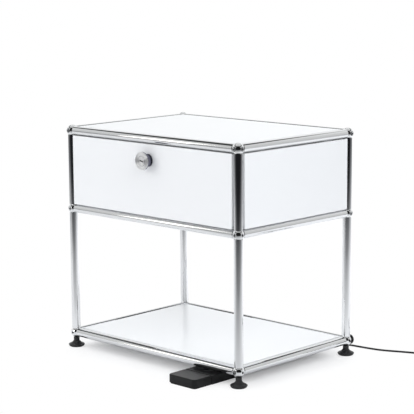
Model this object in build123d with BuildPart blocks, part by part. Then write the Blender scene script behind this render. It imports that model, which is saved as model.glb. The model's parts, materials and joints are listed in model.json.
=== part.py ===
from build123d import *
import math
import os

# Nightstand built from chromed tubes screwed to ball connectors, with pressed steel panels:
# a closed compartment with a lockable drop-down flap on top, an open bay with a shelf below.
# A lamp strip sits in one tube, and its mains dimmer lies on the floor under the shelf.
# Millimetres. +X is to the right, +Y to the back, +Z up, and z = 0 is the floor.

os.makedirs("parts", exist_ok=True)

# Driving dimensions of the frame, between ball centres
width_cc = 500.0
depth_cc = 350.0
compartment_cc = 175.0
bay_cc = 285.0
floor_to_ball = 33.0

# Tubes and ball connectors
tube_d = 19.0
tube_wall = 1.0
tube_edge = 0.4
seat_gap = 0.1
ball_d = 25.0
ball_flat = 11.5
thread_d = 6.0
thread_core_d = 5.0
ball_hollow_r = 4.3
mouth_bevel = 0.6

# Screws and threaded inserts that join a tube to a ball
insert_length = 20.0
insert_gap = 0.2
screw_clearance = 0.05
screw_start = 4.5

# Sheet steel panels
panel_gap = 1.0
panel_sunk = 1.0
panel_depth = 17.0
panel_sheet = 1.0
panel_corner = 2.0
panel_bend = 1.2

# Spring clips between a panel and its tubes
clip_length = 24.0
clip_height = 8.0
clip_clearance = 0.1
clip_inset = 70.0

# Drop-down flap and its hinge
pivot_forward = 4.4
pivot_rise = 15.0
pin_d = 3.0
pin_clearance = 0.05
pin_wall = 1.0
pin_end_gap = 0.5
pin_hold = 9.0
hinge_block_length = 14.0
hinge_block_height = 15.0
hinge_block_setback = 0.1
inner_sheet_gap = 0.2
rim_hole_gap = 0.4

# Turned knob with its cylinder lock
lock_drop = 44.5
knob_neck_d = 27.0
knob_neck_length = 16.0
knob_disc_d = 39.0
knob_disc_t = 4.0
knob_edge = 0.8
knob_root = 1.0
knob_groove = 0.4
lock_case_d = 20.6
lock_case_proud = 0.4
lock_fit = 0.05
lock_plug_d = 13.0
lock_plug_sunk = 0.3
key_slot_length = 9.0
key_slot_width = 1.9
key_slot_depth = 12.0
key_slot_tilt = 12.0
lock_nut_d = 27.0
lock_nut_t = 4.0
tail_d = 8.0
tail_gap = 0.3
cam_t = 1.5
cam_gap = 0.3
cam_width = 14.0
cam_reach = 40.0
cam_fit = 0.02
tail_head_d = 11.0
tail_head_t = 1.6

# Screw-in levelling feet
foot_gap = 0.3
foot_neck_d = 13.2
foot_neck_length = 7.0
foot_rim_d = 36.5
foot_rim_height = 4.6
foot_flare_height = 6.2
foot_flare_d = 33.0
foot_base_d = 30.0
foot_stud_top = 4.0
foot_travel = 8.0

# Lamp strip in the front middle tube, facing down and back into the bay
lamp_end_gap = 45.0
lamp_tilt = 45.0
lamp_slot_width = 8.0
lens_clearance = 0.1
lens_flange_width = 12.0
lens_flange_t = 1.0
lens_flange_out = 5.9
led_strip_width = 7.0
led_strip_t = 1.2

# Round feed plug in the back of the lower right rear ball
feed_head_d = 22.0
feed_head_t = 3.5
feed_ball = ("bottom", "rear_right")
feed_edge = 1.0
feed_stem_length = 6.5

# Floor dimmer: a long flat box with a foot pedal for its front end
dimmer_side_inset = 91.5
dimmer_overhang = 76.0
dimmer_width = 78.0
dimmer_length = 395.0
dimmer_height = 20.0
dimmer_corner = 9.0
dimmer_round = 2.5
dimmer_wall = 2.0
dimmer_rim_gap = 0.6
dimmer_base_t = 2.5
dimmer_base_gap = 0.5
pedal_length = 50.0
pedal_seam = 1.5
pedal_travel = 2.0
pedal_rim_gap = 0.8
pedal_lip_gap = 0.6
boss_d = 8.0
boss_inset = 9.0
standoff_d = 6.0
standoff_inset = 9.0
board_gap = 1.0
board_t = 1.6
board_rise = 3.5
tongue_width = 22.0
transformer_length = 42.0
transformer_width = 34.0
transformer_height = 9.5
capacitor_d = 8.5
capacitor_length = 20.0
component_gap = 14.0
switch_size = 12.0
switch_gap = 0.4
spring_d = 9.0
spring_wire = 1.0
spring_curls = 5
spring_spread = 24.0
spring_end_gap = 0.1

# Mains lead of the dimmer, its strain relief, tie and plug
cord_d = 4.2
relief_length = 25.0
relief_d = 9.5
relief_end_d = 5.8
relief_height = 8.0
relief_neck_d = 7.5
relief_collar_t = 2.0
bend_share = 0.45
coil_mean_d = 50.4
coil_gap = 0.5
coil_height = 3.4
coil_layers = 4
quarter_turns_layer = 9
climb_share = 0.75
tie_width = 5.0
tie_t = 0.9
tie_gap = 0.35
tie_corner = 2.0
plug_height = 6.8
plug_sleeve_length = 12.0
plug_sleeve_d = 7.4
plug_sleeve_end_d = 5.8
plug_length = 36.0
plug_width = 35.0
plug_back_width = 15.0
plug_taper_length = 14.0
plug_t = 13.4
plug_edge = 2.0
plug_pin_d = 4.0
plug_pin_length = 19.0
plug_pin_spacing = 18.6
plug_pin_bevel = 0.8

# Places that follow from the driving dimensions
overrun = 2.0
tube_r = tube_d / 2
bore_r = tube_r - tube_wall
ball_r = ball_d / 2
x_side = width_cc / 2
front_reach = depth_cc / 2 + dimmer_overhang
rear_reach = depth_cc / 2 + ball_flat + feed_head_t
y_mid = (front_reach - rear_reach) / 2
y_front = y_mid - depth_cc / 2
y_rear = y_mid + depth_cc / 2
z_low = floor_to_ball
z_mid = z_low + bay_cc
z_top = z_mid + compartment_cc
tube_seat = math.sqrt(ball_r**2 - bore_r**2) + seat_gap
insert_start = ball_r + insert_gap
insert_end = insert_start + insert_length
panel_margin = tube_r + panel_gap
panel_face = tube_r - panel_sunk
levels = {"bottom": z_low, "middle": z_mid, "top": z_top}
corners = {
    "front_left": (-x_side, y_front),
    "front_right": (x_side, y_front),
    "rear_left": (-x_side, y_rear),
    "rear_right": (x_side, y_rear),
}


def finish(part, label):
    """Name a finished piece and write it to its own file."""
    part.label = label
    export_step(part, f"parts/{label}.step")


# Flap hinge: two pins that turn in bores through the front posts into their inserts
pivot_y = y_front - pivot_forward
pivot_z = z_mid + pivot_rise
pin_end = x_side - thread_d / 2 - pin_wall
flap_half_width = x_side - panel_margin
pin_start = flap_half_width - pin_hold
pin_bore_r = pin_d / 2 + pin_clearance

with BuildPart() as pin_bores:
    for side in (-1, 1):
        with BuildSketch(Plane(origin=(side * flap_half_width, pivot_y, pivot_z), z_dir=(side, 0, 0))):
            Circle(pin_bore_r)
        extrude(amount=pin_end + pin_end_gap - flap_half_width)

# Slot for the lamp strip, cut along the front middle tube
lamp_half_length = x_side - tube_seat - lamp_end_gap
lamp_angle = math.radians(lamp_tilt)
lamp_facing = Vector(0, math.sin(lamp_angle), -math.cos(lamp_angle))
lamp_plane = Plane(origin=(-lamp_half_length, y_front, z_mid), x_dir=lamp_facing, z_dir=(1, 0, 0))

with BuildPart() as lamp_slot:
    with BuildSketch(lamp_plane):
        with Locations((tube_r, 0)):
            Rectangle(tube_d, lamp_slot_width)
    extrude(amount=2 * lamp_half_length)


def frame_tube(label, plane, span, cutter=None):
    """One chromed tube, from a plane at the ball's centre to the next ball's centre."""
    with BuildPart() as tube:
        with BuildSketch(plane.offset(tube_seat)):
            Circle(tube_r)
        extrude(amount=span - 2 * tube_seat)
        end_rings = tube.faces().filter_by(GeomType.PLANE).edges()
        chamfer(end_rings, tube_edge)
        with BuildSketch(plane):
            Circle(bore_r)
        extrude(amount=span, mode=Mode.SUBTRACT)
        if cutter is not None:
            add(cutter, mode=Mode.SUBTRACT)
    finish(tube.part, label)


# Horizontal tubes of the three levels
for level, z in levels.items():
    for place, y in (("front", y_front), ("rear", y_rear)):
        across = Plane(origin=(-x_side, y, z), x_dir=(0, 1, 0), z_dir=(1, 0, 0))
        is_lamp = (level, place) == ("middle", "front")
        frame_tube(f"tube_{level}_{place}", across, width_cc, lamp_slot.part if is_lamp else None)
    for place, x in (("left", -x_side), ("right", x_side)):
        along = Plane(origin=(x, y_front, z), x_dir=(1, 0, 0), z_dir=(0, 1, 0))
        frame_tube(f"tube_{level}_{place}", along, depth_cc)

# Posts of the bay and of the compartment
for corner, (x, y) in corners.items():
    hinged = corner.startswith("front")
    frame_tube(f"post_lower_{corner}", Plane(origin=(x, y, z_low)), bay_cc)
    frame_tube(
        f"post_upper_{corner}",
        Plane(origin=(x, y, z_mid)),
        compartment_cc,
        pin_bores.part if hinged else None,
    )

# Ball connectors: spheres with six flats, a threaded hole behind each, and a hollow where the holes meet
ways = ((1, 0, 0), (-1, 0, 0), (0, 1, 0), (0, -1, 0), (0, 0, 1), (0, 0, -1))


def connector_ball(free_ways):
    """A ball at the origin; a hole that takes no screw keeps the thread's core size."""
    with BuildPart() as ball:
        Sphere(ball_r)
        Box(2 * ball_flat, 2 * ball_flat, 2 * ball_flat, mode=Mode.INTERSECT)
        Sphere(ball_hollow_r, mode=Mode.SUBTRACT)
        for way in ways:
            with BuildSketch(Plane(origin=(0, 0, 0), z_dir=way)):
                Circle(thread_core_d / 2 if way in free_ways else thread_d / 2)
            extrude(amount=ball_r, mode=Mode.SUBTRACT)
        mouths = ball.faces().filter_by(GeomType.PLANE).edges().filter_by(GeomType.CIRCLE)
        chamfer(mouths.filter_by(lambda edge: edge.radius < ball_r / 3), mouth_bevel)
    return ball.part


for level, z in levels.items():
    with BuildPart() as ball_set:
        for corner, (x, y) in corners.items():
            free_ways = [(math.copysign(1, x), 0, 0)]
            if (level, corner) != feed_ball:
                free_ways.append((0, -1 if y == y_front else 1, 0))
            if z == z_top:
                free_ways.append((0, 0, 1))
            with Locations((x, y, z)):
                add(connector_ball(free_ways))
    finish(ball_set.part, f"balls_{level}")


def tube_ends():
    """A plane at the ball's centre for each tube end, looking into that tube."""
    ends = []
    for z in levels.values():
        for x, y in corners.values():
            centre = (x, y, z)
            ends.append(Plane(origin=centre, z_dir=(-math.copysign(1, x), 0, 0)))
            ends.append(Plane(origin=centre, z_dir=(0, 1 if y == y_front else -1, 0)))
            if z > z_low:
                ends.append(Plane(origin=centre, z_dir=(0, 0, -1)))
            if z < z_top:
                ends.append(Plane(origin=centre, z_dir=(0, 0, 1)))
    return ends


# Threaded inserts in the tube ends
with BuildPart() as insert:
    with BuildSketch(Plane.XY.offset(insert_start)):
        Circle(bore_r)
        Circle(thread_d / 2, mode=Mode.SUBTRACT)
    extrude(amount=insert_length)

with BuildPart() as tube_inserts:
    with Locations(*[end.location for end in tube_ends()]):
        add(insert.part)
    add(pin_bores.part, mode=Mode.SUBTRACT)
finish(tube_inserts.part, "tube_inserts")

# Screws from each ball into its inserts
with BuildPart() as screw:
    with BuildSketch(Plane.XY.offset(screw_start)):
        Circle(thread_d / 2 - screw_clearance)
    extrude(amount=insert_end - screw_start)

with BuildPart() as connector_screws:
    with Locations(*[end.location for end in tube_ends()]):
        add(screw.part)
finish(connector_screws.part, "connector_screws")


def tray(face, size_x, size_y):
    """A pressed sheet with folded rims: its face on the plane, its rims running back from it."""
    with BuildPart() as sheet:
        with BuildSketch(face):
            RectangleRounded(size_x, size_y, panel_corner)
        extrude(amount=-panel_depth)
        outer_face = sheet.faces().sort_by(Axis(face.origin, face.z_dir))[-1]
        fillet(outer_face.edges(), panel_bend)
        with BuildSketch(face.offset(-panel_sheet)):
            inner_corner = panel_corner - panel_sheet
            RectangleRounded(size_x - 2 * panel_sheet, size_y - 2 * panel_sheet, inner_corner)
        extrude(amount=-panel_depth, mode=Mode.SUBTRACT)
    return sheet.part


panel_width = width_cc - 2 * panel_margin
panel_length = depth_cc - 2 * panel_margin
panel_height = compartment_cc - 2 * panel_margin
z_compartment = (z_mid + z_top) / 2

# Level panels: the top, the compartment's floor and the open shelf
for label, z in (("top_panel", z_top), ("compartment_floor", z_mid), ("shelf", z_low)):
    finish(tray(Plane(origin=(0, y_mid, z + panel_face)), panel_width, panel_length), label)

# Side and back panels of the compartment
for label, side in (("left_panel", -1), ("right_panel", 1)):
    side_face = Plane(
        origin=(side * (x_side + panel_face), y_mid, z_compartment), x_dir=(0, 1, 0), z_dir=(side, 0, 0)
    )
    finish(tray(side_face, panel_length, panel_height), label)
back_face = Plane(origin=(0, y_rear + panel_face, z_compartment), x_dir=(1, 0, 0), z_dir=(0, 1, 0))
finish(tray(back_face, panel_width, panel_height), "back_panel")

# One spring clip: flat on the panel's rim, hollow round the tube, behind its centre line
with BuildPart() as clip:
    with BuildSketch():
        with Locations((panel_margin / 2, -clip_height / 2)):
            Rectangle(panel_margin, clip_height)
        Circle(tube_r + clip_clearance, mode=Mode.SUBTRACT)
    extrude(amount=clip_length / 2, both=True)


def clip_plane(place, inward, outward):
    """A plane across a tube: x runs to the panel's rim, y to the panel's outer side."""
    to_rim = Vector(*inward)
    return Plane(origin=place, x_dir=to_rim, z_dir=to_rim.cross(Vector(*outward)))


def clip_planes():
    """Two clips on each long edge of every panel, on the centre lines of the tubes there."""
    x_clip = x_side - clip_inset
    y_clip = depth_cc / 2 - clip_inset
    planes = []
    for z in levels.values():
        for x in (-x_clip, x_clip):
            planes.append(clip_plane((x, y_front, z), (0, 1, 0), (0, 0, 1)))
            planes.append(clip_plane((x, y_rear, z), (0, -1, 0), (0, 0, 1)))
    for z, inward in ((z_mid, 1), (z_top, -1)):
        for x in (-x_clip, x_clip):
            planes.append(clip_plane((x, y_rear, z), (0, 0, inward), (0, 1, 0)))
        for side in (-1, 1):
            for y in (y_mid - y_clip, y_mid + y_clip):
                planes.append(clip_plane((side * x_side, y, z), (0, 0, inward), (side, 0, 0)))
    return planes


with BuildPart() as panel_clips:
    with Locations(*[plane.location for plane in clip_planes()]):
        add(clip.part)
finish(panel_clips.part, "panel_clips")

# Flap: an outer tray, drilled for the lock and the hinge pins
flap_face = Plane(origin=(0, y_front - panel_face, z_compartment), x_dir=(1, 0, 0), z_dir=(0, -1, 0))
lock_z = z_top - lock_drop
lock_plane = Plane(origin=(0, y_front - panel_face, lock_z), x_dir=(1, 0, 0), z_dir=(0, -1, 0))
lock_case_r = lock_case_d / 2

with BuildPart() as flap_outer:
    add(tray(flap_face, panel_width, panel_height))
    with BuildSketch(lock_plane):
        Circle(lock_case_r + lock_fit)
    extrude(amount=-(panel_sheet + overrun), mode=Mode.SUBTRACT)
    for side in (-1, 1):
        with BuildSketch(Plane(origin=(side * pin_start, pivot_y, pivot_z), z_dir=(side, 0, 0))):
            Circle(pin_d / 2 + rim_hole_gap)
        extrude(amount=pin_hold + overrun, mode=Mode.SUBTRACT)
finish(flap_outer.part, "flap_outer")

# Flap: the inner sheet that closes the tray
inner_sheet_plane = flap_face.offset(-panel_depth)
sheet_loss = 2 * (panel_sheet + inner_sheet_gap)
with BuildPart() as flap_inner:
    with BuildSketch(inner_sheet_plane):
        RectangleRounded(panel_width - sheet_loss, panel_height - sheet_loss, panel_corner - panel_sheet)
    extrude(amount=panel_sheet)
    with BuildSketch(lock_plane):
        Circle(tail_d / 2 + tail_gap)
    extrude(amount=-(panel_depth + overrun), mode=Mode.SUBTRACT)
finish(flap_inner.part, "flap_inner")

# Hinge blocks in the flap's lower corners, between the two sheets
block_depth = panel_depth - 2 * panel_sheet
block_bottom = z_mid + panel_margin + panel_sheet + hinge_block_setback
block_end = flap_half_width - panel_sheet - hinge_block_setback
with BuildPart() as hinge_blocks:
    for side in (-1, 1):
        block_centre = (side * (block_end - hinge_block_length / 2), block_bottom + hinge_block_height / 2)
        with BuildSketch(Plane(origin=(0, y_front - panel_face + panel_sheet, 0), z_dir=(0, -1, 0), x_dir=(1, 0, 0))):
            with Locations(block_centre):
                Rectangle(hinge_block_length, hinge_block_height)
        extrude(amount=-block_depth)
    fillet(hinge_blocks.edges().filter_by(Axis.Y), panel_corner - panel_sheet)
    for side in (-1, 1):
        with BuildSketch(Plane(origin=(side * pin_start, pivot_y, pivot_z), z_dir=(side, 0, 0))):
            Circle(pin_d / 2)
        extrude(amount=pin_hold, mode=Mode.SUBTRACT)
finish(hinge_blocks.part, "hinge_blocks")

# Hinge pins
with BuildPart() as hinge_pins:
    for side in (-1, 1):
        with BuildSketch(Plane(origin=(side * pin_start, pivot_y, pivot_z), z_dir=(side, 0, 0))):
            Circle(pin_d / 2)
        extrude(amount=pin_end - pin_start)
finish(hinge_pins.part, "hinge_pins")

# Knob: a wide thin disc on a neck, turned in one piece and bored for the lock
knob_length = knob_neck_length + knob_disc_t
with BuildPart() as knob:
    with BuildSketch(lock_plane):
        Circle(knob_neck_d / 2)
    extrude(amount=knob_neck_length)
    with BuildSketch(lock_plane.offset(knob_neck_length)):
        Circle(knob_disc_d / 2)
    extrude(amount=knob_disc_t)
    rims = knob.edges().filter_by(GeomType.CIRCLE)
    fillet(rims.filter_by(lambda edge: edge.radius > (knob_neck_d + knob_disc_d) / 4), knob_edge)
    with BuildSketch(lock_plane):
        Circle(lock_case_r + lock_fit)
    extrude(amount=knob_length, mode=Mode.SUBTRACT)
    mouth = knob.faces().sort_by(Axis(lock_plane.origin, lock_plane.z_dir))[-1].edges().sort_by(SortBy.RADIUS)[0]
    chamfer(mouth, knob_groove)
finish(knob.part, "knob")

# Lock case, from just proud of the knob to the flap's inner sheet
lock_front = knob_length + lock_case_proud
lock_depth = panel_depth - panel_sheet
with BuildPart() as lock_case:
    with BuildSketch(lock_plane.offset(lock_front)):
        Circle(lock_case_r)
        Circle(lock_plug_d / 2 + lock_fit, mode=Mode.SUBTRACT)
    extrude(amount=-(lock_front + lock_depth))
    front_ring = lock_case.faces().sort_by(Axis(lock_plane.origin, lock_plane.z_dir))[-1].edges()
    chamfer(front_ring, lock_case_proud / 2)
finish(lock_case.part, "lock_case")

# Lock plug with its key slot, its tail through the inner sheet, and the tail's riveted head
cam_front = panel_depth + cam_gap
with BuildPart() as lock_plug:
    with BuildSketch(lock_plane.offset(lock_front - lock_plug_sunk)):
        Circle(lock_plug_d / 2)
    extrude(amount=-(lock_front - lock_plug_sunk + lock_depth))
    with BuildSketch(lock_plane.offset(-lock_depth)):
        Circle(tail_d / 2)
    extrude(amount=-(cam_front + cam_t - lock_depth))
    with BuildSketch(lock_plane.offset(-(cam_front + cam_t))):
        Circle(tail_head_d / 2)
    extrude(amount=-tail_head_t)
    with BuildSketch(lock_plane.offset(lock_front)):
        Rectangle(key_slot_length, key_slot_width, rotation=-key_slot_tilt)
    extrude(amount=-key_slot_depth, mode=Mode.SUBTRACT)
finish(lock_plug.part, "lock_plug")

# Cam that swings up behind the top front tube
with BuildPart() as lock_cam:
    with BuildSketch(lock_plane.offset(-cam_front)):
        with Locations(((cam_reach - cam_width / 2) / 2, 0)):
            SlotCenterToCenter(cam_reach - cam_width / 2, cam_width)
        Circle(tail_d / 2 + cam_fit, mode=Mode.SUBTRACT)
    extrude(amount=-cam_t)
finish(lock_cam.part, "lock_cam")

# Nut that clamps the lock case and the knob to the flap's outer sheet
with BuildPart() as lock_nut:
    with BuildSketch(lock_plane.offset(-panel_sheet)):
        RegularPolygon(lock_nut_d / 2, 6)
        Circle(lock_case_r + lock_fit, mode=Mode.SUBTRACT)
    extrude(amount=-lock_nut_t)
finish(lock_nut.part, "lock_nut")

# Levelling foot: a moulded bell on the stud that screws up into the ball
neck_top = z_low - ball_flat - foot_gap
neck_bottom = neck_top - foot_neck_length
with BuildPart() as foot:
    with BuildSketch(Plane.XZ):
        with BuildLine():
            base_edge = Line((0, 0), (foot_base_d / 2, 0))
            rim = RadiusArc(
                (foot_base_d / 2, 0), (foot_rim_d / 2, foot_rim_height), -foot_rim_height * 3 / 2
            )
            Line((foot_rim_d / 2, foot_rim_height), (foot_flare_d / 2, foot_flare_height))
            flare_r = (neck_bottom - foot_flare_height) * 2
            RadiusArc(
                (foot_flare_d / 2, foot_flare_height), (foot_neck_d / 2, neck_bottom), flare_r
            )
            Line((foot_neck_d / 2, neck_bottom), (foot_neck_d / 2, neck_top))
            Line((foot_neck_d / 2, neck_top), (0, neck_top))
            Line((0, neck_top), (0, 0))
        make_face()
    revolve(axis=Axis.Z)
    with BuildSketch(Plane.XY.offset(neck_top)):
        Circle(thread_d / 2 - screw_clearance)
    extrude(amount=z_low + foot_stud_top - neck_top)

for corner, (x, y) in corners.items():
    with BuildPart() as placed_foot:
        with Locations((x, y, 0)):
            add(foot.part)
    finish(placed_foot.part, f"foot_{corner}")

# Lamp: a flanged lens that fills the slot, with the strip of diodes on its back
with BuildPart() as lamp_lens:
    with BuildSketch(lamp_plane.offset(lens_clearance)):
        with Locations((tube_r / 2, 0)):
            Rectangle(tube_r, lamp_slot_width - 2 * lens_clearance)
        Circle(tube_r, mode=Mode.INTERSECT)
        with Locations((lens_flange_out - lens_flange_t / 2, 0)):
            Rectangle(lens_flange_t, lens_flange_width)
        with Locations(((lens_flange_out - lens_flange_t) / 2, 0)):
            Rectangle(lens_flange_out - lens_flange_t, lens_flange_width, mode=Mode.SUBTRACT)
    extrude(amount=2 * (lamp_half_length - lens_clearance))
finish(lamp_lens.part, "lamp_lens")

with BuildPart() as led_strip:
    with BuildSketch(lamp_plane.offset(lens_clearance)):
        with Locations((lens_flange_out - lens_flange_t - led_strip_t / 2, 0)):
            Rectangle(led_strip_t, led_strip_width)
    extrude(amount=2 * (lamp_half_length - lens_clearance))
finish(led_strip.part, "led_strip")

# Feed plug: a round head on the ball's rear flat, with its stem in the hole
feed_plane = Plane(origin=(x_side, y_rear + ball_flat, z_low), x_dir=(1, 0, 0), z_dir=(0, 1, 0))
with BuildPart() as feed_plug:
    with BuildSketch(feed_plane):
        Circle(feed_head_d / 2)
    extrude(amount=feed_head_t)
    fillet(feed_plug.faces().sort_by(Axis.Y)[-1].edges(), feed_edge)
    with BuildSketch(feed_plane):
        Circle(thread_d / 2 - screw_clearance)
    extrude(amount=-feed_stem_length)
finish(feed_plug.part, "feed_plug")

# Floor dimmer, from the front end back
dimmer_front = y_front - dimmer_overhang
dimmer_rear = dimmer_front + dimmer_length
dimmer_x = x_side - dimmer_side_inset
pedal_rear = dimmer_front + pedal_length
cover_front = pedal_rear + pedal_seam
pedal_rim_z = pedal_travel + pedal_rim_gap
ceiling_z = dimmer_height - dimmer_wall
board_z = dimmer_base_t + board_rise
board_top = board_z + board_t
seam_lip_z = board_top + pedal_travel + pedal_lip_gap


def box_outline(front, rear, inset, rounded):
    """The dimmer's outline between two places along it, with two rounded corners."""
    with BuildSketch(mode=Mode.PRIVATE) as outline:
        with Locations((dimmer_x, (front + rear) / 2)):
            Rectangle(dimmer_width - 2 * inset, rear - front - 2 * inset)
        fillet(outline.vertices().group_by(Axis.Y)[rounded], dimmer_corner - inset)
    return outline.sketch


def dimmer_shell(front, rear, rim_z, rounded):
    """An upturned tray from one end of the box to the seam, where its wall is only a lip."""
    seam_y = rear if rounded == 0 else front
    with BuildPart() as shell:
        with BuildSketch(Plane.XY.offset(rim_z)):
            add(box_outline(front, rear, 0, rounded))
        extrude(amount=dimmer_height - rim_z)
        fillet(shell.faces().sort_by(Axis.Z)[-1].edges(), dimmer_round)
        with BuildSketch(Plane.XY.offset(rim_z)):
            add(box_outline(front, rear, dimmer_wall, rounded))
        extrude(amount=ceiling_z - rim_z, mode=Mode.SUBTRACT)
        with BuildSketch(Plane.XY.offset(rim_z)):
            with Locations((dimmer_x, seam_y)):
                Rectangle(dimmer_width - 2 * dimmer_wall, 2 * dimmer_wall)
        extrude(amount=seam_lip_z - rim_z, mode=Mode.SUBTRACT)
    return shell.part


# Mains lead's exit: a tapered boot behind the cover, with a neck through its rear wall
relief_plane = Plane(origin=(dimmer_x, dimmer_rear, relief_height), x_dir=(1, 0, 0), z_dir=(0, 1, 0))
finish(dimmer_shell(dimmer_front, pedal_rear, pedal_rim_z, 0), "dimmer_pedal")

with BuildPart() as dimmer_cover:
    add(dimmer_shell(cover_front, dimmer_rear, dimmer_rim_gap, -1))
    with BuildSketch(relief_plane):
        Circle(relief_neck_d / 2)
    extrude(amount=-dimmer_wall, mode=Mode.SUBTRACT)
finish(dimmer_cover.part, "dimmer_cover")

with BuildPart() as strain_relief:
    with BuildSketch(relief_plane):
        Circle(relief_d / 2)
    with BuildSketch(relief_plane.offset(relief_length)):
        Circle(relief_end_d / 2)
    loft()
    with BuildSketch(relief_plane):
        Circle(relief_neck_d / 2)
    extrude(amount=-dimmer_wall)
    with BuildSketch(relief_plane.offset(-dimmer_wall)):
        Circle(relief_d / 2)
    extrude(amount=-relief_collar_t)
finish(strain_relief.part, "strain_relief")

# Base plate with the bosses that carry the cover and the standoffs that carry the board
base_inset = dimmer_wall + dimmer_base_gap
board_half_width = dimmer_width / 2 - dimmer_wall - boss_inset - boss_d / 2 - board_gap
board_front = cover_front + dimmer_wall + board_gap
board_rear = dimmer_rear - dimmer_wall - relief_collar_t - board_gap
boss_front = cover_front + dimmer_wall + boss_inset
boss_rear = dimmer_rear - dimmer_wall - boss_inset
boss_side = dimmer_width / 2 - dimmer_wall - boss_inset
standoff_side = board_half_width - standoff_inset
standoff_front = board_front + standoff_inset
standoff_rear = board_rear - standoff_inset


def four_places(side, front, rear):
    """Two places across the dimmer at each of two places along it."""
    return [(dimmer_x + x, y) for x in (-side, side) for y in (front, rear)]


with BuildPart() as dimmer_base:
    with BuildSketch():
        with Locations((dimmer_x, (dimmer_front + dimmer_rear) / 2)):
            RectangleRounded(
                dimmer_width - 2 * base_inset, dimmer_length - 2 * base_inset, dimmer_corner - base_inset
            )
    extrude(amount=dimmer_base_t)
    with BuildSketch(Plane.XY.offset(dimmer_base_t)):
        with Locations(*four_places(boss_side, boss_front, boss_rear)):
            Circle(boss_d / 2)
    extrude(amount=ceiling_z - dimmer_base_t)
    with BuildSketch(Plane.XY.offset(dimmer_base_t)):
        with Locations(*four_places(standoff_side, standoff_front, standoff_rear)):
            Circle(standoff_d / 2)
    extrude(amount=board_rise)
finish(dimmer_base.part, "dimmer_base")

# Driver board: its plate with a tongue under the pedal, the switch, transformer and capacitors
pedal_middle = (dimmer_front + pedal_rear) / 2
tongue_front = pedal_middle - switch_size / 2 - board_gap
transformer_y = (board_front + board_rear) / 2
capacitor_y = transformer_y + transformer_length / 2 + component_gap + capacitor_length / 2
with BuildPart() as driver_board:
    with BuildSketch(Plane.XY.offset(board_z)):
        with Locations((dimmer_x, (board_front + board_rear) / 2)):
            Rectangle(2 * board_half_width, board_rear - board_front)
        with Locations((dimmer_x, (tongue_front + board_front) / 2)):
            Rectangle(tongue_width, board_front - tongue_front)
    extrude(amount=board_t)
    with BuildSketch(Plane.XY.offset(board_top)):
        with Locations((dimmer_x, pedal_middle)):
            Rectangle(switch_size, switch_size)
    extrude(amount=ceiling_z - pedal_travel - switch_gap - board_top)
    with BuildSketch(Plane.XY.offset(board_top)):
        with Locations((dimmer_x, transformer_y)):
            Rectangle(transformer_width, transformer_length)
    extrude(amount=transformer_height)
    for side in (-1, 1):
        with BuildSketch(
            Plane(
                origin=(dimmer_x + side * capacitor_d, capacitor_y, board_top + capacitor_d / 2),
                x_dir=(1, 0, 0),
                z_dir=(0, 1, 0),
            )
        ):
            Circle(capacitor_d / 2)
            with Locations((0, capacitor_d / 4)):
                Rectangle(capacitor_d, capacitor_d / 2)
        extrude(amount=capacitor_length / 2, both=True)
finish(driver_board.part, "driver_board")

# Two coil springs that lift the pedal
spring_bottom = dimmer_base_t + spring_end_gap + spring_wire / 2
spring_height = ceiling_z - spring_end_gap - spring_wire / 2 - spring_bottom
with BuildPart() as pedal_springs:
    for side in (-1, 1):
        spring_place = (dimmer_x + side * spring_spread, pedal_middle, spring_bottom)
        spring_line = Helix(spring_height / spring_curls, spring_height, spring_d / 2).moved(Location(spring_place))
        with BuildSketch(Plane(origin=spring_line @ 0, z_dir=spring_line % 0)):
            Circle(spring_wire / 2)
        sweep(path=spring_line)
finish(pedal_springs.part, "pedal_springs")

# Route of the mains lead from the boot to its coil, chosen by hand: x, y, z in millimetres
cord_route = [
    (158.5, 199.5, 8.0),
    (158.5, 214.5, 8.0),
    (160.5, 231.5, 4.0),
    (168.5, 248.5, 2.2),
    (184.0, 262.5, 2.2),
    (206.0, 270.3, 2.2),
    (234.0, 273.2, 2.2),
    (263.0, 276.2, 2.2),
    (293.0, 282.5, 2.2),
    (323.0, 295.8, 2.4),
    (355.0, 306.5, 3.4),
    (387.0, 316.5, 3.4),
]

# Way of the lead from the coil down to the plug: how far along, and how high
tail_route = [(12.8, 17.5), (36.0, 14.0), (54.0, 8.7), (70.0, 6.8), (84.0, 6.8)]


def bend_radii(points):
    """The widest arc that fits each inner corner of a route."""
    radii = []
    for before, corner, after in zip(points, points[1:], points[2:]):
        into = Vector(*corner) - Vector(*before)
        out = Vector(*after) - Vector(*corner)
        half_turn = math.radians(into.get_angle(out)) / 2
        radii.append(bend_share * min(into.length, out.length) / math.tan(half_turn))
    return radii


def lead(label, points):
    """One free stretch of the lead, and what it measures."""
    radii = bend_radii(points)
    with BuildPart() as stretch:
        with BuildLine() as route:
            FilletPolyline(*points, radius=radii)
        line = route.wires()[0]
        with BuildSketch(Plane(origin=line @ 0, z_dir=line % 0)):
            Circle(cord_d / 2)
        sweep()
    section = math.pi * cord_d**2 / 4
    print(label, "least bend", round(min(radii), 1), "length", round(line.length, 1))
    print(label, "volume", round(stretch.part.volume), "section by length", round(section * line.length))
    finish(stretch.part, label)


lead("cord_run", cord_route)

# Coil: the lead spirals in and out in flat layers, climbing where the spiral turns back
coil_start = Vector(*cord_route[-1])
coil_heading = (coil_start - Vector(*cord_route[-2])).normalized()
coil_left = Vector(-coil_heading.Y, coil_heading.X, 0)
coil_pitch = cord_d + coil_gap
coil_spiral = coil_pitch * quarter_turns_layer / 4
coil_outer_r = (coil_mean_d + coil_spiral) / 2
coil_inner_r = coil_outer_r - coil_spiral
coil_centre = coil_start + coil_left * coil_outer_r
coil_quarters = coil_layers * quarter_turns_layer
coil_top = coil_height + coil_pitch * (coil_layers - 1)


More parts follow.
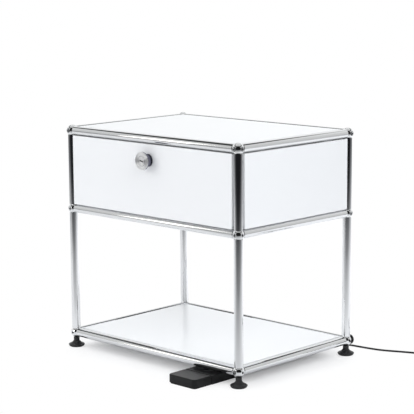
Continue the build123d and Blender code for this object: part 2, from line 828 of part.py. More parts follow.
def coil_node(quarter):
    """Where the lead is after some quarter turns, and which way it runs there."""
    layer, into = divmod(quarter, quarter_turns_layer)
    turns_back = into == 0
    inward = layer % 2 == 0
    depth = into if inward else quarter_turns_layer - into
    radius = coil_outer_r - coil_pitch * depth / 4
    radial_rate = 0 if turns_back else coil_pitch * (-1 if inward else 1) / 4
    climbs = turns_back and 0 < quarter < coil_quarters
    level = min(layer, coil_layers - 1) - (1 / 2 if climbs else 0)
    out = coil_left * -1
    outward = out.rotate(Axis.Z, 90 * quarter)
    along = coil_heading.rotate(Axis.Z, 90 * quarter)
    place = coil_centre + outward * radius + Vector(0, 0, coil_pitch * level)
    runs = along * (radius * math.pi / 2) + outward * radial_rate
    if climbs:
        runs += Vector(0, 0, coil_pitch * climb_share)
    return place, runs.normalized()


def biarc(start, start_runs, end, end_runs):
    """Two arcs that join two places smoothly in space."""
    across = end - start
    both = start_runs + end_runs
    spare = 2 * (1 - start_runs.dot(end_runs))
    reach = (math.sqrt(across.dot(both) ** 2 + spare * across.dot(across)) - across.dot(both)) / spare
    joint = (start + start_runs * reach + end - end_runs * reach) / 2
    first = TangentArc(start, joint, tangent=start_runs)
    TangentArc(joint, end, tangent=first % 1)


nodes = [coil_node(quarter) for quarter in range(coil_quarters + 1)]
with BuildPart() as cord_coil:
    with BuildLine() as coil_line:
        for (start, start_runs), (end, end_runs) in zip(nodes, nodes[1:]):
            biarc(start, start_runs, end, end_runs)
        coil_end, coil_end_runs = nodes[-1]
        Line(coil_end, coil_end + coil_end_runs * cord_d)
    coil_wire = coil_line.wires()[0]
    with BuildSketch(Plane(origin=coil_wire @ 0, z_dir=coil_wire % 0)):
        Circle(cord_d / 2)
    sweep()
finish(cord_coil.part, "cord_coil")

# Least gap of the coil to itself, measured between points along it
coil_length = coil_wire.length
coil_samples = 24 * coil_quarters
coil_points = [coil_wire.position_at(i / coil_samples) for i in range(coil_samples + 1)]
near_stretch = round(coil_samples * 4 * cord_d / coil_length)
least_gap = min(
    (coil_points[j] - coil_points[i]).length - cord_d
    for i in range(coil_samples + 1)
    for j in range(i + near_stretch, coil_samples + 1)
)
coil_section = math.pi * cord_d**2 / 4
print("coil least gap to itself", round(least_gap, 3), "length", round(coil_length, 1))
print("coil volume", round(cord_coil.part.volume), "section by length", round(coil_section * coil_length))

# Tail: the lead leaves the coil's top layer and comes down to the plug
tail_start = coil_end + coil_end_runs * cord_d
tail_points = [tail_start] + [
    Vector(coil_end.X, coil_end.Y, height) + coil_end_runs * distance for distance, height in tail_route
]
lead("cord_tail", [tuple(point) for point in tail_points])

# Tie: a strap round the whole bundle, opposite the place where the lead comes in
tie_side = coil_left
tie_along = coil_heading
bundle_middle = (coil_outer_r + coil_inner_r) / 2
bundle_width = coil_spiral + cord_d
bundle_height = coil_top - coil_height + cord_d
tie_centre = coil_centre + tie_side * bundle_middle + Vector(0, 0, (coil_top - coil_height) / 2)
with BuildPart() as coil_tie:
    with BuildSketch(Plane(origin=tie_centre, x_dir=tie_side, z_dir=tie_along)):
        tie_out = 2 * (tie_gap + tie_t)
        RectangleRounded(bundle_width + tie_out, bundle_height + tie_out, tie_corner + tie_t)
        RectangleRounded(
            bundle_width + 2 * tie_gap, bundle_height + 2 * tie_gap, tie_corner, mode=Mode.SUBTRACT
        )
    extrude(amount=tie_width / 2, both=True)
finish(coil_tie.part, "coil_tie")

# Flat two-pin plug: its sleeve, its tapered body and its pins
plug_start = tail_points[-1]
plug_plane = Plane(origin=plug_start, x_dir=coil_left, z_dir=coil_heading)
pin_face = plug_sleeve_length + plug_length
with BuildPart() as mains_plug:
    with BuildSketch(plug_plane):
        Circle(plug_sleeve_end_d / 2)
    with BuildSketch(plug_plane.offset(plug_sleeve_length)):
        Circle(plug_sleeve_d / 2)
    loft()
    flat_plane = Plane(origin=plug_start, x_dir=coil_heading, z_dir=(0, 0, 1))
    with BuildSketch(flat_plane.offset(-plug_t / 2)):
        with BuildLine():
            Polyline(
                (plug_sleeve_length, plug_back_width / 2),
                (plug_sleeve_length + plug_taper_length, plug_width / 2),
                (pin_face, plug_width / 2),
                (pin_face, -plug_width / 2),
                (plug_sleeve_length + plug_taper_length, -plug_width / 2),
                (plug_sleeve_length, -plug_back_width / 2),
                close=True,
            )
        make_face()
    body = extrude(amount=plug_t, mode=Mode.PRIVATE)
    add(body.fillet(plug_edge, body.edges()))
finish(mains_plug.part, "mains_plug")

with BuildPart() as plug_pins:
    with BuildSketch(plug_plane.offset(pin_face)):
        with Locations((-plug_pin_spacing / 2, 0), (plug_pin_spacing / 2, 0)):
            Circle(plug_pin_d / 2)
    extrude(amount=plug_pin_length)
    tips = plug_pins.faces().filter_by(GeomType.PLANE).group_by(Axis(plug_start, coil_heading))[-1]
    chamfer(tips.edges(), plug_pin_bevel)
finish(plug_pins.part, "plug_pins")
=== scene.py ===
import json
import math

import bmesh
import bpy
from mathutils import Matrix, Vector


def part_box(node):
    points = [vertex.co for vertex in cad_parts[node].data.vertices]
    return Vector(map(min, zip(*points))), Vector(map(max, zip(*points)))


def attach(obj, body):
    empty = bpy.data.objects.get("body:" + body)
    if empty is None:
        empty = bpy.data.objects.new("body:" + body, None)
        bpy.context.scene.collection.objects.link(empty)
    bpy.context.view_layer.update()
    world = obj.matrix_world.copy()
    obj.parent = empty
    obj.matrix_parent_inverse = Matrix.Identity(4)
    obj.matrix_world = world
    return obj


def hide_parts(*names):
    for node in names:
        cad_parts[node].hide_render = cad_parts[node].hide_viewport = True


# Looks of the nightstand: chromed tubes and balls, white coated steel, black feet, dimmer and lead.
# Metres, in the part's own frame: +X right, +Y back, +Z up, the floor at z = 0.

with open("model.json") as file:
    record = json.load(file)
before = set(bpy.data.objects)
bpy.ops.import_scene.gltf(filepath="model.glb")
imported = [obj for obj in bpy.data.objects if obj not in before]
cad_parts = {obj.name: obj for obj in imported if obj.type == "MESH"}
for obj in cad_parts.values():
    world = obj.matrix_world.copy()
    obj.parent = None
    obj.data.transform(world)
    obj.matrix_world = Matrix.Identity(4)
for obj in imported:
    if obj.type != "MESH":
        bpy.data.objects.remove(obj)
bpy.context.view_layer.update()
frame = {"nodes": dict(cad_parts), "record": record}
NODES = frame["nodes"]
MM = 0.001

# Mains lead, in millimetres, as in the part's source
LEAD_D = 4.2
LEAD_ROUTE = [
    (158.5, 199.5, 8.0),
    (158.5, 214.5, 8.0),
    (160.5, 231.5, 4.0),
    (168.5, 248.5, 2.2),
    (184.0, 262.5, 2.2),
    (206.0, 270.3, 2.2),
    (234.0, 273.2, 2.2),
    (263.0, 276.2, 2.2),
    (293.0, 282.5, 2.2),
    (323.0, 295.8, 2.4),
    (355.0, 306.5, 3.4),
    (387.0, 316.5, 3.4),
]
TAIL_ROUTE = [(12.8, 17.5), (36.0, 14.0), (54.0, 8.7), (70.0, 6.8), (84.0, 6.8)]
COIL_MEAN_D = 50.4
COIL_GAP = 0.5
COIL_LAYERS = 4
COIL_TURNS_LAYER = 2.25
COIL_POINTS_TURN = 16

# Knob: its disc, the painted dark reflection on its rim and neck that deepens to painted shade toward
# the flap, by distance from the front, the painted shade line round the lock's seat, and the painted
# shade over the key slot, in metres
DISC_CHROME = (0.96, 0.965, 0.97)
NECK_PAINTED_REFLECTION_AND_SHADE = (
    (0.0006, DISC_CHROME),
    (0.0014, (0.30, 0.30, 0.36)),
    (0.0041, (0.28, 0.28, 0.34)),
    (0.0125, (0.24, 0.24, 0.31)),
    (0.0160, (0.03, 0.03, 0.045)),
)
RINGS_PER_METRE = 1100.0
RING_DEPTH = 0.000006
SEAT_SHADE_RING_R = 0.0108
KEY_SLOT_SHADE_LENGTH = 0.0092
KEY_SLOT_SHADE_WIDTH = 0.0026
KEY_SLOT_TILT = 12.0
# near-black painted shade, for the line round the lock's seat and for the key slot
PAINTED_SHADE_BLACK = (0.015, 0.015, 0.018)

# Lamp strip's diodes and the dimmer's circuit board, in metres
DIODE_PITCH = 0.0167
DIODE_SHARE = 0.21
STRIP_WHITE = (0.85, 0.84, 0.80)
DIODE_YELLOW = (0.85, 0.62, 0.12)
BOARD_TOP_OVER_BASE = 0.0076
BOARD_GREEN = (0.03, 0.16, 0.07)
PART_BLACK = (0.05, 0.05, 0.055)

# Camera, fitted to the photograph's balls
CAMERA_PLACE = (2.3062, -2.3800, 0.8832)
CAMERA_AZIMUTH = 43.794
CAMERA_ELEVATION = 9.492
CAMERA_ROLL = -0.375
CAMERA_LENS = 133.12


def new_material(name, colour, roughness, metallic=0.0):
    """A Principled material with its plain values set, and the tree to build on."""
    material = bpy.data.materials.new(name)
    material.use_nodes = True
    shader = material.node_tree.nodes["Principled BSDF"]
    shader.inputs["Base Color"].default_value = (*colour, 1.0)
    shader.inputs["Roughness"].default_value = roughness
    shader.inputs["Metallic"].default_value = metallic
    return material, material.node_tree, shader


def surface_group():
    """Shared effect: blotches that vary a value, and fine grain as a height."""
    group = bpy.data.node_groups.new("surface grain", "ShaderNodeTree")
    face = group.interface
    for label, value in (("Blotch Scale", 20.0), ("Low", 0.2), ("High", 0.3), ("Grain Scale", 2000.0)):
        socket = face.new_socket(label, in_out="INPUT", socket_type="NodeSocketFloat")
        socket.default_value = value
    face.new_socket("Value", in_out="OUTPUT", socket_type="NodeSocketFloat")
    face.new_socket("Height", in_out="OUTPUT", socket_type="NodeSocketFloat")
    nodes, links = group.nodes, group.links
    inside = nodes.new("NodeGroupInput")
    outside = nodes.new("NodeGroupOutput")
    place = nodes.new("ShaderNodeTexCoord")
    blotch = nodes.new("ShaderNodeTexNoise")
    blotch.inputs["Detail"].default_value = 1.0
    spread = nodes.new("ShaderNodeMapRange")
    grain = nodes.new("ShaderNodeTexNoise")
    grain.inputs["Detail"].default_value = 2.0
    links.new(place.outputs["Object"], blotch.inputs["Vector"])
    links.new(place.outputs["Object"], grain.inputs["Vector"])
    links.new(inside.outputs["Blotch Scale"], blotch.inputs["Scale"])
    links.new(inside.outputs["Grain Scale"], grain.inputs["Scale"])
    links.new(blotch.outputs["Fac"], spread.inputs["Value"])
    links.new(inside.outputs["Low"], spread.inputs["To Min"])
    links.new(inside.outputs["High"], spread.inputs["To Max"])
    links.new(spread.outputs["Result"], outside.inputs["Value"])
    links.new(grain.outputs["Fac"], outside.inputs["Height"])
    return group


SURFACE = surface_group()


def add_surface(tree, shader, blotch, low, high, grain, depth):
    """Roughness that varies from low to high, and grain of a real depth in metres."""
    node = tree.nodes.new("ShaderNodeGroup")
    node.node_tree = SURFACE
    node.inputs["Blotch Scale"].default_value = blotch
    node.inputs["Low"].default_value = low
    node.inputs["High"].default_value = high
    node.inputs["Grain Scale"].default_value = grain
    tree.links.new(node.outputs["Value"], shader.inputs["Roughness"])
    bump = tree.nodes.new("ShaderNodeBump")
    bump.inputs["Distance"].default_value = depth
    tree.links.new(node.outputs["Height"], bump.inputs["Height"])
    tree.links.new(bump.outputs["Normal"], shader.inputs["Normal"])


def chrome_material():
    material, tree, shader = new_material("chrome plate", (0.86, 0.865, 0.87), 0.05, 1.0)
    add_surface(tree, shader, 35.0, 0.03, 0.075, 900.0, 0.0000015)
    return material


def coat_material():
    material, tree, shader = new_material("white powder coat", (0.86, 0.87, 0.885), 0.3)
    shader.inputs["Coat Weight"].default_value = 0.2
    shader.inputs["Coat Roughness"].default_value = 0.14
    add_surface(tree, shader, 9.0, 0.27, 0.33, 1400.0, 0.000006)
    return material


def steel_material():
    material, tree, shader = new_material("zinc plated steel", (0.56, 0.57, 0.58), 0.35, 1.0)
    add_surface(tree, shader, 120.0, 0.28, 0.42, 1500.0, 0.00001)
    return material


def nickel_material():
    material, tree, shader = new_material("nickel pins", (0.72, 0.70, 0.64), 0.22, 1.0)
    add_surface(tree, shader, 200.0, 0.16, 0.3, 2500.0, 0.000004)
    return material


def plastic_material(name, colour, low, high, depth, shine=0.5):
    material, tree, shader = new_material(name, colour, low)
    shader.inputs["Specular IOR Level"].default_value = shine
    add_surface(tree, shader, 60.0, low, high, 1600.0, depth)
    return material


def turned_group():
    """Shared effect: fine rings turned round a piece's front-to-back axis, and the distance from it."""
    group = bpy.data.node_groups.new("turned rings", "ShaderNodeTree")
    face = group.interface
    face.new_socket("Centre", in_out="INPUT", socket_type="NodeSocketVector")
    face.new_socket("Rings per Metre", in_out="INPUT", socket_type="NodeSocketFloat")
    face.new_socket("Height", in_out="OUTPUT", socket_type="NodeSocketFloat")
    face.new_socket("Reach", in_out="OUTPUT", socket_type="NodeSocketFloat")
    nodes, links = group.nodes, group.links
    inside = nodes.new("NodeGroupInput")
    outside = nodes.new("NodeGroupOutput")
    place = nodes.new("ShaderNodeTexCoord")
    offset = nodes.new("ShaderNodeVectorMath")
    offset.operation = "SUBTRACT"
    flat = nodes.new("ShaderNodeVectorMath")
    flat.operation = "MULTIPLY"
    flat.inputs[1].default_value = (1.0, 0.0, 1.0)
    reach = nodes.new("ShaderNodeVectorMath")
    reach.operation = "LENGTH"
    turns = nodes.new("ShaderNodeMath")
    turns.operation = "MULTIPLY"
    angle = nodes.new("ShaderNodeMath")
    angle.operation = "MULTIPLY"
    angle.inputs[1].default_value = 2 * math.pi
    wave = nodes.new("ShaderNodeMath")
    wave.operation = "SINE"
    links.new(place.outputs["Object"], offset.inputs[0])
    links.new(inside.outputs["Centre"], offset.inputs[1])
    links.new(offset.outputs["Vector"], flat.inputs[0])
    links.new(flat.outputs["Vector"], reach.inputs[0])
    links.new(reach.outputs["Value"], turns.inputs[0])
    links.new(inside.outputs["Rings per Metre"], turns.inputs[1])
    links.new(turns.outputs["Value"], angle.inputs[0])
    links.new(angle.outputs["Value"], wave.inputs[0])
    links.new(wave.outputs["Value"], outside.inputs["Height"])
    links.new(reach.outputs["Value"], outside.inputs["Reach"])
    return group


TURNED_RINGS = turned_group()


def turned_material(name, node):
    """Turned chrome, spun round the node's front-to-back axis; also gives the distance from it."""
    material, tree, shader = new_material(name, DISC_CHROME, 0.46, 1.0)
    rings = tree.nodes.new("ShaderNodeGroup")
    rings.node_tree = TURNED_RINGS
    rings.inputs["Centre"].default_value = middle(node)
    rings.inputs["Rings per Metre"].default_value = RINGS_PER_METRE
    bump = tree.nodes.new("ShaderNodeBump")
    bump.inputs["Distance"].default_value = RING_DEPTH
    tree.links.new(rings.outputs["Height"], bump.inputs["Height"])
    tree.links.new(bump.outputs["Normal"], shader.inputs["Normal"])
    around = tree.nodes.new("ShaderNodeTangent")
    around.direction_type = "RADIAL"
    around.axis = "Y"
    tree.links.new(around.outputs["Tangent"], shader.inputs["Tangent"])
    shader.inputs["Anisotropic"].default_value = 0.85
    shader.inputs["Anisotropic Rotation"].default_value = 0.25
    return material, tree, shader, rings.outputs["Reach"]


def middle(node):
    """The middle of a node's box."""
    low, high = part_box(node)
    return [(a + b) / 2 for a, b in zip(low, high)]


def under(tree, value, limit):
    """One where a value is under the limit."""
    less = tree.nodes.new("ShaderNodeMath")
    less.operation = "LESS_THAN"
    less.inputs[1].default_value = limit
    tree.links.new(value, less.inputs[0])
    return less.outputs["Value"]


def base_mix(tree, shader, mask, first, second):
    """The base colour: a colour or a socket where the mask is zero, another colour where it is one."""
    mix = tree.nodes.new("ShaderNodeMix")
    mix.data_type = "RGBA"
    if isinstance(first, tuple):
        mix.inputs["A"].default_value = (*first, 1.0)
    else:
        tree.links.new(first, mix.inputs["A"])
    mix.inputs["B"].default_value = (*second, 1.0)
    tree.links.new(mask, mix.inputs["Factor"])
    tree.links.new(mix.outputs["Result"], shader.inputs["Base Color"])


def knob_material():
    """Turned disc with a painted shade line round the lock's seat, and a painted dark reflection on its
    neck that deepens to painted shade toward the flap.
    """
    material, tree, shader, reach = turned_material("turned knob chrome", "knob")
    low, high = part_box("knob")
    length = high[1] - low[1]
    place = tree.nodes.new("ShaderNodeTexCoord")
    split = tree.nodes.new("ShaderNodeSeparateXYZ")
    tree.links.new(place.outputs["Object"], split.inputs["Vector"])
    depth = tree.nodes.new("ShaderNodeMapRange")
    depth.inputs["From Min"].default_value = low[1]
    depth.inputs["From Max"].default_value = high[1]
    tree.links.new(split.outputs["Y"], depth.inputs["Value"])
    # painted dark reflection on the rim and neck, deepening to painted shade toward the flap
    shade = tree.nodes.new("ShaderNodeValToRGB")
    marks = shade.color_ramp.elements
    marks[0].color = (*DISC_CHROME, 1.0)
    marks[1].color = (*NECK_PAINTED_REFLECTION_AND_SHADE[-1][1], 1.0)
    for distance, colour in NECK_PAINTED_REFLECTION_AND_SHADE:
        marks.new(distance / length).color = (*colour, 1.0)
    tree.links.new(depth.outputs["Result"], shade.inputs["Fac"])
    # painted shade: a near-black ring round the lock's seat
    base_mix(tree, shader, under(tree, reach, SEAT_SHADE_RING_R), shade.outputs["Color"], PAINTED_SHADE_BLACK)
    return material


def lock_plug_material():
    """Turned plug face with painted shade in and round its key slot, along the plug's whole length."""
    material, tree, shader, _ = turned_material("turned plug chrome", "lock_plug")
    place = tree.nodes.new("ShaderNodeTexCoord")
    turned = tree.nodes.new("ShaderNodeMapping")
    turned.vector_type = "TEXTURE"
    turned.inputs["Location"].default_value = middle("lock_plug")
    turned.inputs["Rotation"].default_value = (0.0, math.radians(KEY_SLOT_TILT), 0.0)
    size = tree.nodes.new("ShaderNodeVectorMath")
    size.operation = "ABSOLUTE"
    split = tree.nodes.new("ShaderNodeSeparateXYZ")
    slot = tree.nodes.new("ShaderNodeMath")
    slot.operation = "MULTIPLY"
    tree.links.new(place.outputs["Object"], turned.inputs["Vector"])
    tree.links.new(turned.outputs["Vector"], size.inputs[0])
    tree.links.new(size.outputs["Vector"], split.inputs["Vector"])
    # painted shade: a near-black bar, a little larger than the key slot and tilted with it
    tree.links.new(under(tree, split.outputs["X"], KEY_SLOT_SHADE_LENGTH / 2), slot.inputs[0])
    tree.links.new(under(tree, split.outputs["Z"], KEY_SLOT_SHADE_WIDTH / 2), slot.inputs[1])
    base_mix(tree, shader, slot.outputs["Value"], DISC_CHROME, PAINTED_SHADE_BLACK)
    return material


def lens_material():
    material, tree, shader = new_material("milky lens", (0.90, 0.89, 0.86), 0.35)
    shader.inputs["Subsurface Weight"].default_value = 0.4
    shader.inputs["Subsurface Radius"].default_value = (0.003, 0.003, 0.003)
    add_surface(tree, shader, 50.0, 0.28, 0.36, 1500.0, 0.000004)
    return material


def diode_strip_material():
    """Yellow diodes in bands along the white strip."""
    material, tree, shader = new_material("diode strip", STRIP_WHITE, 0.4)
    place = tree.nodes.new("ShaderNodeTexCoord")
    split = tree.nodes.new("ShaderNodeSeparateXYZ")
    step = tree.nodes.new("ShaderNodeMath")
    step.operation = "PINGPONG"
    step.inputs[1].default_value = DIODE_PITCH / 2
    tree.links.new(place.outputs["Object"], split.inputs["Vector"])
    tree.links.new(split.outputs["X"], step.inputs[0])
    diode = under(tree, step.outputs["Value"], DIODE_PITCH * DIODE_SHARE / 2)
    base_mix(tree, shader, diode, STRIP_WHITE, DIODE_YELLOW)
    return material


def board_material():
    """Green board below, black components above it."""
    material, tree, shader = new_material("circuit board", BOARD_GREEN, 0.4)
    place = tree.nodes.new("ShaderNodeTexCoord")
    split = tree.nodes.new("ShaderNodeSeparateXYZ")
    over = tree.nodes.new("ShaderNodeMath")
    over.operation = "GREATER_THAN"
    over.inputs[1].default_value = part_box("dimmer_base")[0][2] + BOARD_TOP_OVER_BASE
    tree.links.new(place.outputs["Object"], split.inputs["Vector"])
    tree.links.new(split.outputs["Z"], over.inputs[0])
    base_mix(tree, shader, over.outputs["Value"], BOARD_GREEN, PART_BLACK)
    return material


CHROME = chrome_material()
TURNED = turned_material("turned lock case", "lock_case")[0]
NODE_LOOKS = {"knob": knob_material(), "lock_plug": lock_plug_material()}
COAT = coat_material()
STEEL = steel_material()
FOOT = plastic_material("black foot plastic", (0.012, 0.012, 0.013), 0.38, 0.50, 0.00001)
CASE = plastic_material("black case plastic", (0.005, 0.0052, 0.0056), 0.34, 0.36, 0.000012, 0.30)
RUBBER = plastic_material("black lead sheath", (0.01, 0.01, 0.011), 0.45, 0.6, 0.000008)
SLOT_LOOKS = {
    "chrome_tube": CHROME,
    "chrome_ball": CHROME,
    "lock_chrome": TURNED,
    "plain_steel": STEEL,
    "white_sheet": COAT,
    "black_foot": FOOT,
    "black_case": CASE,
    "pedal_grey": CASE,
    "black_lead": RUBBER,
    "lamp_lens": lens_material(),
    "led_strip": diode_strip_material(),
    "circuit_board": board_material(),
    "plug_metal": nickel_material(),
}


def dress_nodes():
    """Every node keeps its shape and takes the finish of its slot."""
    slots = {row["node"]: row["material_slot"] for row in frame["record"]["subparts"]}
    for name, node in NODES.items():
        node.data.materials.clear()
        node.data.materials.append(NODE_LOOKS.get(name, SLOT_LOOKS[slots[name]]))


def coil_points():
    """The coil's turns: radius in and out as a triangular wave, height by layers."""
    start = Vector(LEAD_ROUTE[-1])
    heading = (start - Vector(LEAD_ROUTE[-2])).normalized()
    left = Vector((-heading.y, heading.x, 0.0))
    pitch = LEAD_D + COIL_GAP
    outer = (COIL_MEAN_D + pitch * COIL_TURNS_LAYER) / 2
    centre = start + left * outer
    count = round(COIL_LAYERS * COIL_TURNS_LAYER * COIL_POINTS_TURN)
    swell = 1 / math.cos(math.pi / COIL_POINTS_TURN)
    points = []
    for index in range(1, count):
        turns = index / COIL_POINTS_TURN
        layer = int(turns / COIL_TURNS_LAYER)
        into = turns - layer * COIL_TURNS_LAYER
        depth = into if layer % 2 == 0 else COIL_TURNS_LAYER - into
        radius = (outer - pitch * depth) * swell
        nearest = round(turns / COIL_TURNS_LAYER)
        climbing = min(max((turns - nearest * COIL_TURNS_LAYER) * 2 + 0.5, 0.0), 1.0)
        between_layers = 0 < nearest < COIL_LAYERS
        level = nearest - 1 + climbing * climbing * (3 - 2 * climbing) if between_layers else layer
        angle = 2 * math.pi * turns
        out = heading * math.sin(angle) - left * math.cos(angle)
        points.append(centre + out * radius + Vector((0.0, 0.0, pitch * level)))
    end = start + Vector((0.0, 0.0, pitch * (COIL_LAYERS - 1)))
    return points, end, heading


def mains_lead():
    """The whole lead as one smooth line: its free stretch, its coil and its tail to the plug."""
    turns, coil_end, heading = coil_points()
    tail = [
        Vector((coil_end.x, coil_end.y, height)) + heading * distance for distance, height in TAIL_ROUTE
    ]
    points = [Vector(point) for point in LEAD_ROUTE] + turns + [coil_end] + tail
    curve = bpy.data.curves.new("mains_lead", "CURVE")
    curve.dimensions = "3D"
    curve.bevel_depth = LEAD_D / 2 * MM
    curve.bevel_resolution = 5
    curve.resolution_u = 5
    curve.use_fill_caps = True
    spline = curve.splines.new("NURBS")
    spline.points.add(len(points) - 1)
    for slot, point in zip(spline.points, points):
        slot.co = (*(point * MM), 1.0)
    spline.order_u = 3
    spline.use_endpoint_u = True
    lead = bpy.data.objects.new("mains_lead", curve)
    bpy.context.scene.collection.objects.link(lead)
    lead.data.materials.append(RUBBER)
    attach(lead, "frame")
    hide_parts("cord_run", "cord_coil", "cord_tail")


def camera_at_photo():
    azimuth, elevation, roll = (
        math.radians(value) for value in (CAMERA_AZIMUTH, CAMERA_ELEVATION, CAMERA_ROLL)
    )
    back = Vector(
        (
            math.sin(azimuth) * math.cos(elevation),
            -math.cos(azimuth) * math.cos(elevation),
            math.sin(elevation),
        )
    )
    level = Vector((math.cos(azimuth), math.sin(azimuth), 0.0))
    upright = back.cross(level)
    right = level * math.cos(roll) + upright * math.sin(roll)
    up = back.cross(right)
    data = bpy.data.cameras.new("photo camera")
    data.lens = CAMERA_LENS
    data.sensor_width = 36.0
    data.clip_end = 50.0
    camera = bpy.data.objects.new("photo camera", data)
    turn = Matrix((right, up, back)).transposed().to_4x4()
    camera.matrix_world = Matrix.Translation(CAMERA_PLACE) @ turn
    bpy.context.scene.collection.objects.link(camera)
    bpy.context.scene.camera = camera


# Studio: a white floor and backdrop round the cabinet, a dark room beyond its front, in metres
SWEEP_SIZE = 12.0
FRONT_RIGHT = (math.sin(math.radians(44.0)), -math.cos(math.radians(44.0)), 0.0)
REAR_RIGHT = (-FRONT_RIGHT[1], FRONT_RIGHT[0], 0.0)
SWEEP_WHITE = (0.93, 0.935, 0.95)
SWEEP_LIFT = 0.09
# how bright the chrome sees the floor: by distance to the front, all round, and from left to right
FLOOR_TO_THE_FRONT = (
    (0.12, 1.0), (0.40, 0.72), (0.72, 0.52), (1.0, 0.37),
    (1.15, 0.25), (1.6, 0.18), (2.2, 0.04), (2.8, 0.01),
)
FLOOR_AROUND = ((1.2, 1.0), (1.6, 0.8), (2.4, 0.55), (4.0, 0.35))
FLOOR_SIDEWAYS = (-0.7, 0.5, 0.78, 1.0)
DARK_FLOOR = (0.010, 0.010, 0.012)
# where the lit floor with its shadow gives way to plain white
FOOTPRINT_MIDDLE = (0.0, 0.0305, 0.0)
FOOTPRINT_HALF = (0.16, 0.085, 1.0)
SHADOW_REACH = 0.20
# the room as the chrome sees it: each from, to, and its brightness at both
ROOM_WALLS = (-0.6, 0.0, 0.95, 0.62)
ROOM_OPENING = (0.35, 0.75, 1.0, 0.02)
ROOM_DARK_BAND = (0.60, 0.67, 1.0, 0.06)
ROOM_CEILING = (0.74, 0.80, 0.0, 1.0)
SOFT_LIGHT = (0.96, 0.98, 1.0)
WORLD_LEVEL = 0.52
CABINET = (0.0, 0.0, 0.2)
COMPARTMENT = (0.0, 0.0, 0.4)
CENTRE_OF_FLOOR = (0.0, 0.0, 0.0)

# Each softbox: name, place, what it faces, width, height, watts, colour, and whether the chrome shows it
SOFT_BOXES = (
    ("overhead box", (0.0, 0.0, 2.6), CENTRE_OF_FLOOR, 2.4, 2.4, 6.8, (1.0, 1.0, 1.0), False),
    ("left box", (-1.56, -1.56, 1.75), CABINET, 2.4, 2.4, 19.8, (1.0, 0.99, 0.98), False),
    ("right box", (2.1, -0.75, 1.75), CABINET, 2.0, 2.0, 31.7, (0.98, 0.99, 1.0), False),
    ("back box", (-1.1, 2.1, 1.25), CABINET, 1.2, 1.0, 37.0, (0.98, 0.99, 1.0), False),
    ("strip box", (-1.5, -1.65, 0.8), CABINET, 0.25, 0.9, 1.0, (1.0, 0.96, 0.90), True),
    ("front box", (-0.45, -2.4, 0.95), COMPARTMENT, 0.35, 0.5, 5.0, (1.0, 1.0, 1.0), True),
)


def along(tree, vector, way):
    """How far a place or direction goes one way."""
    node = tree.nodes.new("ShaderNodeVectorMath")
    node.operation = "DOT_PRODUCT"
    node.inputs[1].default_value = way
    tree.links.new(vector, node.inputs[0])
    return node.outputs["Value"]


def product(tree, first, second):
    node = tree.nodes.new("ShaderNodeMath")
    node.operation = "MULTIPLY"
    for socket, value in zip(node.inputs, (first, second)):
        if isinstance(value, float):
            socket.default_value = value
        else:
            tree.links.new(value, socket)
    return node.outputs["Value"]


def eased(tree, value, start, end, low=0.0, high=1.0):
    """A value that eases from low at the start to high at the end."""
    node = tree.nodes.new("ShaderNodeMapRange")
    node.interpolation_type = "SMOOTHSTEP"
    node.inputs["From Min"].default_value = start
    node.inputs["From Max"].default_value = end
    node.inputs["To Min"].default_value = low
    node.inputs["To Max"].default_value = high
    tree.links.new(value, node.inputs["Value"])
    return node.outputs["Result"]


def stepped(tree, value, stops):
    """A value read off a line through the stops, in metres."""
    reach = stops[-1][0]
    scaled = product(tree, value, 1.0 / reach)
    ramp = tree.nodes.new("ShaderNodeValToRGB")
    marks = ramp.color_ramp.elements
    marks.remove(marks[1])
    marks[0].position = stops[0][0] / reach
    marks[0].color = (*[stops[0][1]] * 3, 1.0)
    for place, shade in stops[1:]:
        marks.new(place / reach).color = (shade, shade, shade, 1.0)
    tree.links.new(scaled, ramp.inputs["Fac"])
    return ramp.outputs["Color"]


def vector_step(tree, operation, first, second=None):
    node = tree.nodes.new("ShaderNodeVectorMath")
    node.operation = operation
    tree.links.new(first, node.inputs[0])
    if second is not None:
        node.inputs[1].default_value = second
    return node.outputs["Value" if operation == "LENGTH" else "Vector"]


def shaded_mix(tree, factor, first, second):
    node = tree.nodes.new("ShaderNodeMixShader")
    tree.links.new(factor, node.inputs["Fac"])
    tree.links.new(first, node.inputs[1])
    tree.links.new(second, node.inputs[2])
    return node.outputs["Shader"]


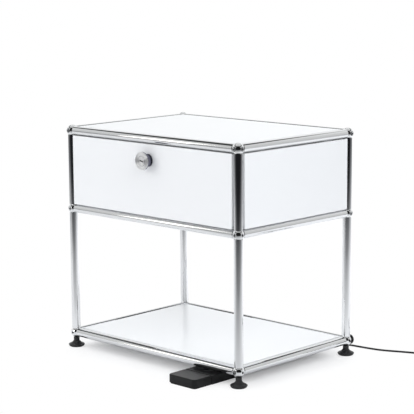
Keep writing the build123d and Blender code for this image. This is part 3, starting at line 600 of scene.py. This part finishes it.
def floor_sweep():
    bm = bmesh.new()
    bmesh.ops.create_grid(bm, x_segments=1, y_segments=1, size=SWEEP_SIZE / 2)
    mesh = bpy.data.meshes.new("studio_floor")
    bm.to_mesh(mesh)
    bm.free()
    floor = bpy.data.objects.new("studio_floor", mesh)
    bpy.context.scene.collection.objects.link(floor)
    material = bpy.data.materials.new("studio floor")
    material.use_nodes = True
    tree = material.node_tree
    tree.nodes.clear()
    output = tree.nodes.new("ShaderNodeOutputMaterial")
    place = tree.nodes.new("ShaderNodeTexCoord").outputs["Object"]
    ray = tree.nodes.new("ShaderNodeLightPath")
    paint = tree.nodes.new("ShaderNodeBsdfDiffuse")
    paint.inputs["Color"].default_value = (*SWEEP_WHITE, 1.0)
    distance = vector_step(tree, "LENGTH", place)
    offset = vector_step(tree, "SUBTRACT", place, FOOTPRINT_MIDDLE)
    beyond = vector_step(tree, "SUBTRACT", vector_step(tree, "ABSOLUTE", offset), FOOTPRINT_HALF)
    outside = vector_step(tree, "MAXIMUM", beyond, (0.0, 0.0, 0.0))
    beside = vector_step(tree, "LENGTH", outside)
    # white away from the cabinet, and the lit floor with its shadow near it
    white = tree.nodes.new("ShaderNodeEmission")
    lift = tree.nodes.new("ShaderNodeEmission")
    tree.links.new(product(tree, ray.outputs["Is Camera Ray"], SWEEP_LIFT), lift.inputs["Strength"])
    lit = tree.nodes.new("ShaderNodeAddShader")
    tree.links.new(paint.outputs["BSDF"], lit.inputs[0])
    tree.links.new(lift.outputs["Emission"], lit.inputs[1])
    far = product(tree, eased(tree, beside, 0.0, SHADOW_REACH), ray.outputs["Is Camera Ray"])
    seen = shaded_mix(tree, far, lit.outputs["Shader"], white.outputs["Emission"])
    # in the chrome it darkens toward the front and with distance
    dark = tree.nodes.new("ShaderNodeEmission")
    dark.inputs["Color"].default_value = (*DARK_FLOOR, 1.0)
    frontward = stepped(tree, along(tree, place, FRONT_RIGHT), FLOOR_TO_THE_FRONT)
    sideways = eased(tree, along(tree, place, REAR_RIGHT), *FLOOR_SIDEWAYS)
    bright = product(tree, product(tree, frontward, stepped(tree, distance, FLOOR_AROUND)), sideways)
    away = tree.nodes.new("ShaderNodeMath")
    away.operation = "SUBTRACT"
    away.inputs[0].default_value = 1.0
    tree.links.new(bright, away.inputs[1])
    in_chrome = product(tree, away.outputs["Value"], ray.outputs["Is Glossy Ray"])
    mirrored = shaded_mix(tree, in_chrome, seen, dark.outputs["Emission"])
    tree.links.new(mirrored, output.inputs["Surface"])
    floor.data.materials.append(material)


def studio_world():
    """White all round; in reflections, dark toward the front and in a band overhead."""
    world = bpy.data.worlds.new("studio")
    world.use_nodes = True
    tree = world.node_tree
    tree.nodes.clear()
    output = tree.nodes.new("ShaderNodeOutputWorld")
    ray = tree.nodes.new("ShaderNodeLightPath")
    place = tree.nodes.new("ShaderNodeTexCoord").outputs["Generated"]
    split = tree.nodes.new("ShaderNodeSeparateXYZ")
    tree.links.new(place, split.inputs["Vector"])
    height = split.outputs["Z"]
    toward = along(tree, place, FRONT_RIGHT)
    white = tree.nodes.new("ShaderNodeBackground")
    white.inputs["Color"].default_value = (1.0, 1.0, 1.0, 1.0)
    soft = tree.nodes.new("ShaderNodeBackground")
    soft.inputs["Color"].default_value = (*SOFT_LIGHT, 1.0)
    soft.inputs["Strength"].default_value = WORLD_LEVEL
    walls = eased(tree, toward, *ROOM_WALLS)
    opening = eased(tree, toward, *ROOM_OPENING)
    ceiling = tree.nodes.new("ShaderNodeMath")
    ceiling.operation = "MAXIMUM"
    tree.links.new(eased(tree, height, *ROOM_DARK_BAND), ceiling.inputs[0])
    tree.links.new(eased(tree, height, *ROOM_CEILING), ceiling.inputs[1])
    room = tree.nodes.new("ShaderNodeBackground")
    room.inputs["Color"].default_value = (0.99, 1.0, 1.0, 1.0)
    level = product(tree, product(tree, walls, opening), ceiling.outputs["Value"])
    tree.links.new(level, room.inputs["Strength"])
    lit, walled, plain = (node.outputs["Background"] for node in (soft, room, white))
    glossy = shaded_mix(tree, ray.outputs["Is Glossy Ray"], lit, walled)
    seen = shaded_mix(tree, ray.outputs["Is Camera Ray"], glossy, plain)
    tree.links.new(seen, output.inputs["Surface"])
    bpy.context.scene.world = world


def studio_lights():
    for name, place, aim, width, height, watts, colour, mirrored in SOFT_BOXES:
        data = bpy.data.lights.new(name, "AREA")
        data.shape = "RECTANGLE"
        data.size = width
        data.size_y = height
        data.energy = watts
        data.color = colour
        lamp = bpy.data.objects.new(name, data)
        facing = (Vector(aim) - Vector(place)).to_track_quat("-Z", "Y")
        lamp.matrix_world = Matrix.Translation(place) @ facing.to_matrix().to_4x4()
        lamp.visible_glossy = mirrored
        bpy.context.scene.collection.objects.link(lamp)


dress_nodes()
mains_lead()
camera_at_photo()
floor_sweep()
studio_world()
studio_lights()
bpy.context.scene.view_settings.view_transform = "Standard"
